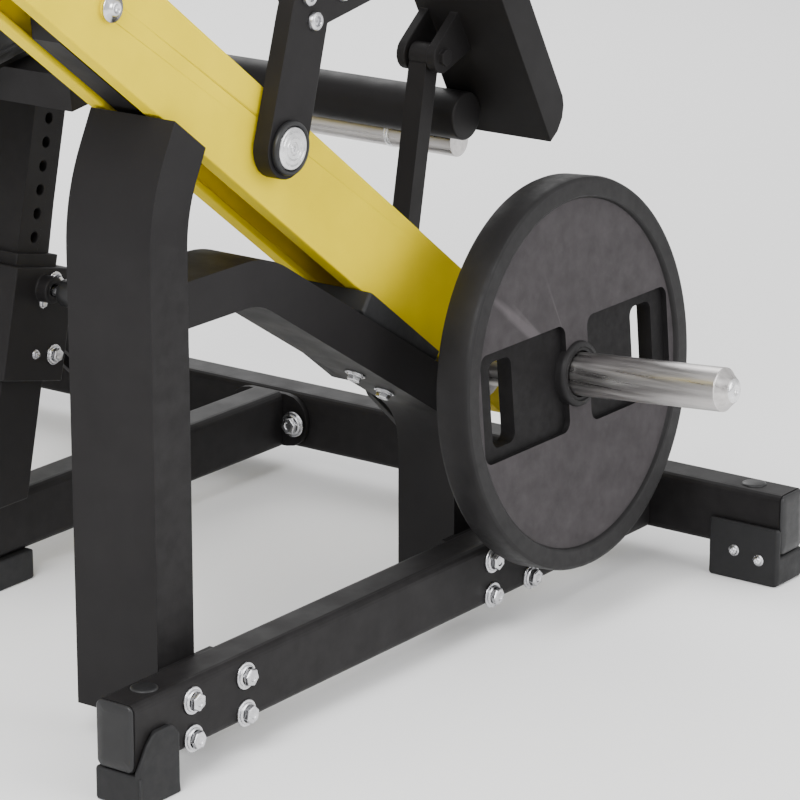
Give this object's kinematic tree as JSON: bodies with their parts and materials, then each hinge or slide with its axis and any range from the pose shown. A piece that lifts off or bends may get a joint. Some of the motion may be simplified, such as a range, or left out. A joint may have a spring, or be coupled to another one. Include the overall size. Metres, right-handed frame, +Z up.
{
  "type": "leg press machine",
  "caption": "Plate-loaded leg press: sloping yellow levers lift weight plates as a swinging foot plate is pushed from an adjustable reclined seat.",
  "frame": {"origin": "middle of the machine's bounding box at floor level", "axes": "+Z up, +X from the seat towards the foot plate, -Y the user's right side, where the weight plate hangs"},
  "size_m": [1.3119, 1.7022, 1.2518],
  "materials": {
    "frame": "fine textured powder coat, dark charcoal",
    "lever_yellow": "gloss yellow powder coat",
    "rubber": "moulded black rubber",
    "foot_mat": "ribbed black rubber",
    "grip": "ribbed black grip",
    "plate_iron": "rubber-coated iron plate, grainy dark grey",
    "bright_steel": "bright zinc",
    "chrome": "satin chromed steel",
    "upholstery": "black upholstery vinyl with stitched seams"
  },
  "bodies": {
    "frame": {"cross_beam": "frame", "centre_rail": "frame", "centre_rail_flange": "frame", "centre_foot": "rubber", "seat_post": "frame", "right_side_rail": "frame", "right_rear_foot": "rubber", "right_front_foot": "rubber", "right_column": "frame", "right_bent_tube": "frame", "right_support_block": "rubber", "right_rear_rail_bolts": "bright_steel", "right_front_rail_bolts": "bright_steel", "right_rod_stand": "frame", "left_side_rail": "frame", "left_rear_foot": "rubber", "left_front_foot": "rubber", "left_column": "frame", "left_bent_tube": "frame", "left_support_block": "rubber", "left_rear_rail_bolts": "bright_steel", "left_front_rail_bolts": "bright_steel", "left_rod_stand": "frame"},
    "right_lever": {"right_lever": "lever_yellow", "right_weight_horn": "chrome"},
    "left_lever": {"left_lever": "lever_yellow", "left_weight_horn": "chrome"},
    "press_frame": {"press_cross_tube": "frame", "press_lower_bar": "chrome", "foot_plate": "frame", "foot_mat": "foot_mat", "right_arm": "frame", "right_side_link": "frame", "right_slab": "frame", "right_pivot_cap": "bright_steel", "right_arm_bolts": "bright_steel", "right_bar_bracket": "frame", "left_arm": "frame", "left_side_link": "frame", "left_slab": "frame", "left_pivot_cap": "bright_steel", "left_arm_bolts": "bright_steel", "left_bar_bracket": "frame"},
    "right_tie_rod": {"right_tie_rod": "frame"},
    "left_tie_rod": {"left_tie_rod": "frame"},
    "weight_plate": {"weight_plate": "plate_iron"},
    "seat": {"seat_stem": "frame", "seat_frame": "frame", "seat_pad": "upholstery", "right_handle": "frame", "right_grip": "grip", "left_handle": "frame", "left_grip": "grip"},
    "back": {"back_frame": "frame", "back_pad": "upholstery"},
    "seat_pin": {"seat_pin": "bright_steel"}
  },
  "joints": [
    {"name": "right_lever_lift", "type": "hinge", "parent": "frame", "child": "right_lever", "pos_m": [-0.3159, 0, 0.807], "axis": [0, -1, 0], "range_deg": [0, 22]},
    {"name": "left_lever_lift", "type": "hinge", "parent": "frame", "child": "left_lever", "pos_m": [-0.3159, 0, 0.807], "axis": [0, -1, 0], "range_deg": [0, 22]},
    {"name": "press_swing", "type": "hinge", "parent": "right_lever", "child": "press_frame", "pos_m": [-0.0599, 0, 0.62], "axis": [0, 1, 0], "range_deg": [0, 34.2]},
    {"name": "right_rod_swing", "type": "hinge", "parent": "frame", "child": "right_tie_rod", "pos_m": [0.42877, 0, 0.20435], "axis": [0, 1, 0], "range_deg": [0, 6.4]},
    {"name": "left_rod_swing", "type": "hinge", "parent": "frame", "child": "left_tie_rod", "pos_m": [0.42877, 0, 0.20435], "axis": [0, 1, 0], "range_deg": [0, 6.4]},
    {"name": "plate_on_horn", "type": "slide", "parent": "right_lever", "child": "weight_plate", "axis": [0, -0.9969, 0.0784], "range_m": [0, 0.15]},
    {"name": "seat_height", "type": "slide", "parent": "frame", "child": "seat", "axis": [0.2251, 0, 0.9743], "range_m": [0, 0.112]},
    {"name": "back_recline", "type": "hinge", "parent": "seat", "child": "back", "pos_m": [-0.21781, 0, 0.65693], "axis": [0, 1, 0], "range_deg": [0, 12]},
    {"name": "seat_pin_pull", "type": "slide", "parent": "frame", "child": "seat_pin", "axis": [0, -1, 0], "range_m": [0, 0.02], "stiffness_N_per_m": 900, "springref_m": -0.005}
  ],
  "couplings": [
    {"joint": "left_lever_lift", "follows": "right_lever_lift", "ratio": 1},
    {"joint": "press_swing", "follows": "right_lever_lift", "ratio": 1.5436},
    {"joint": "right_rod_swing", "follows": "right_lever_lift", "ratio": 0.2817},
    {"joint": "left_rod_swing", "follows": "right_lever_lift", "ratio": 0.2817}
  ]
}
